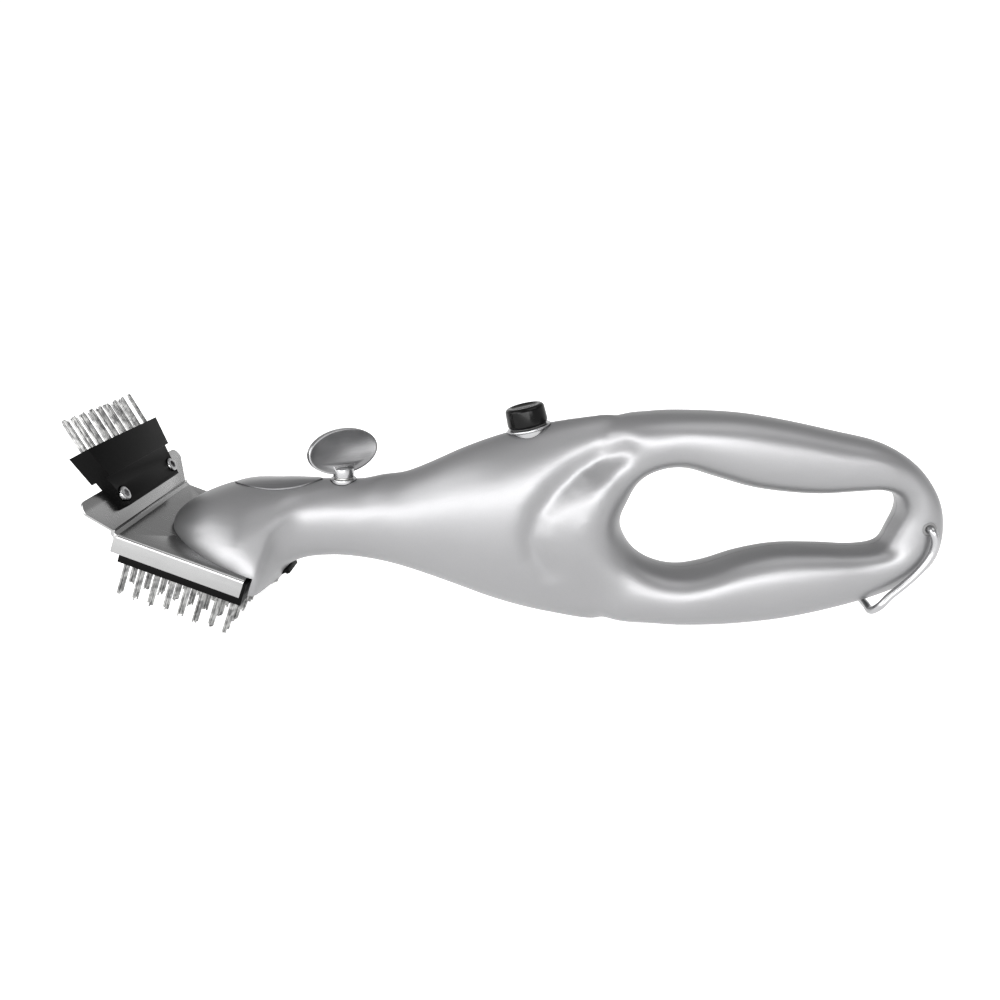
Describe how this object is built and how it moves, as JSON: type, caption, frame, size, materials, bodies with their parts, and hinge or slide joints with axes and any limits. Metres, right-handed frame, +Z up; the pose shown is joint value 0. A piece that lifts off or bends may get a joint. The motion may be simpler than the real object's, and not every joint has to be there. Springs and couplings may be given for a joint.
{
  "type": "grill cleaning brush",
  "caption": "Grill cleaning brush with a hollow water handle, finger loop, turning valve, fill cap, steel head, wire bristles and a hanging ring.",
  "frame": {"origin": "middle of the whole brush's box, on the surface it rests on", "axes": "+X from the brush head to the tail of the handle, +Y across the brush, +Z up; it rests on the last row of bristle tips and on the belly of the handle"},
  "size_m": [0.3875, 0.1, 0.1032],
  "materials": {
    "silver_paint": "satin metallic paint on moulded plastic",
    "badge_plate": "satin",
    "head_steel": "brushed",
    "bright_metal": "polished",
    "zinc_steel": "plain zinc plate",
    "bristle_wire": "drawn wire",
    "brush_black": "satin moulded",
    "cap_black": "gloss",
    "valve_plastic": "moulded",
    "seal_rubber": "matte",
    "tube_plastic": "milky"
  },
  "bodies": {
    "handle": {"shell_left": "silver_paint", "shell_right": "silver_paint", "badge": "badge_plate", "valve_gland": "bright_metal", "stem_seal": "seal_rubber", "valve_body": "valve_plastic", "outlet_tube": "tube_plastic", "outlet_nozzle": "valve_plastic", "nozzle_nut": "zinc_steel", "fill_neck": "bright_metal", "head_plate": "head_steel", "head_gasket": "seal_rubber", "head_screws": "zinc_steel", "tab_guide": "valve_plastic", "tab_screws": "zinc_steel", "front_holder": "brush_black", "front_bristles": "bristle_wire", "front_screws": "bright_metal", "front_nuts": "zinc_steel", "ring_bushes": "valve_plastic"},
    "valve": {"valve_knob": "bright_metal", "knob_rivet": "zinc_steel", "valve_stem": "zinc_steel"},
    "cap_carrier": {"cap_seal": "seal_rubber"},
    "cap": {"fill_cap": "cap_black"},
    "brush": {"brush_block": "brush_black", "main_bristles": "bristle_wire"},
    "tab": {"release_tab": "brush_black"},
    "ring": {"hang_ring": "bright_metal"}
  },
  "joints": [
    {"name": "valve_turn", "type": "hinge", "parent": "handle", "child": "valve", "pos_m": [-0.0782, 0, 0.045], "axis": [0, 0, 1], "range_deg": [-44, 46]},
    {"name": "cap_lift", "type": "slide", "parent": "handle", "child": "cap_carrier", "axis": [-0.2504, 0, 0.9681], "range_m": [0, 0.0061]},
    {"name": "cap_turn", "type": "hinge", "parent": "cap_carrier", "child": "cap", "pos_m": [0.0058, 0, 0.0917], "axis": [-0.2504, 0, 0.9681], "range_deg": [0, 720]},
    {"name": "brush_drop", "type": "slide", "parent": "handle", "child": "brush", "axis": [-0.3256, 0, -0.9455], "range_m": [0, 0.02]},
    {"name": "tab_slide", "type": "slide", "parent": "handle", "child": "tab", "axis": [0.9272, 0, 0.3746], "range_m": [0, 0.003], "stiffness_N_per_m": 300, "springref_m": -0.004},
    {"name": "ring_swing", "type": "hinge", "parent": "handle", "child": "ring", "pos_m": [0.1834, 0, 0.0556], "axis": [0, -1, 0], "range_deg": [0, 180]}
  ],
  "couplings": [
    {"joint": "cap_lift", "follows": "cap_turn", "m_per_rad": 0.00047746}
  ]
}
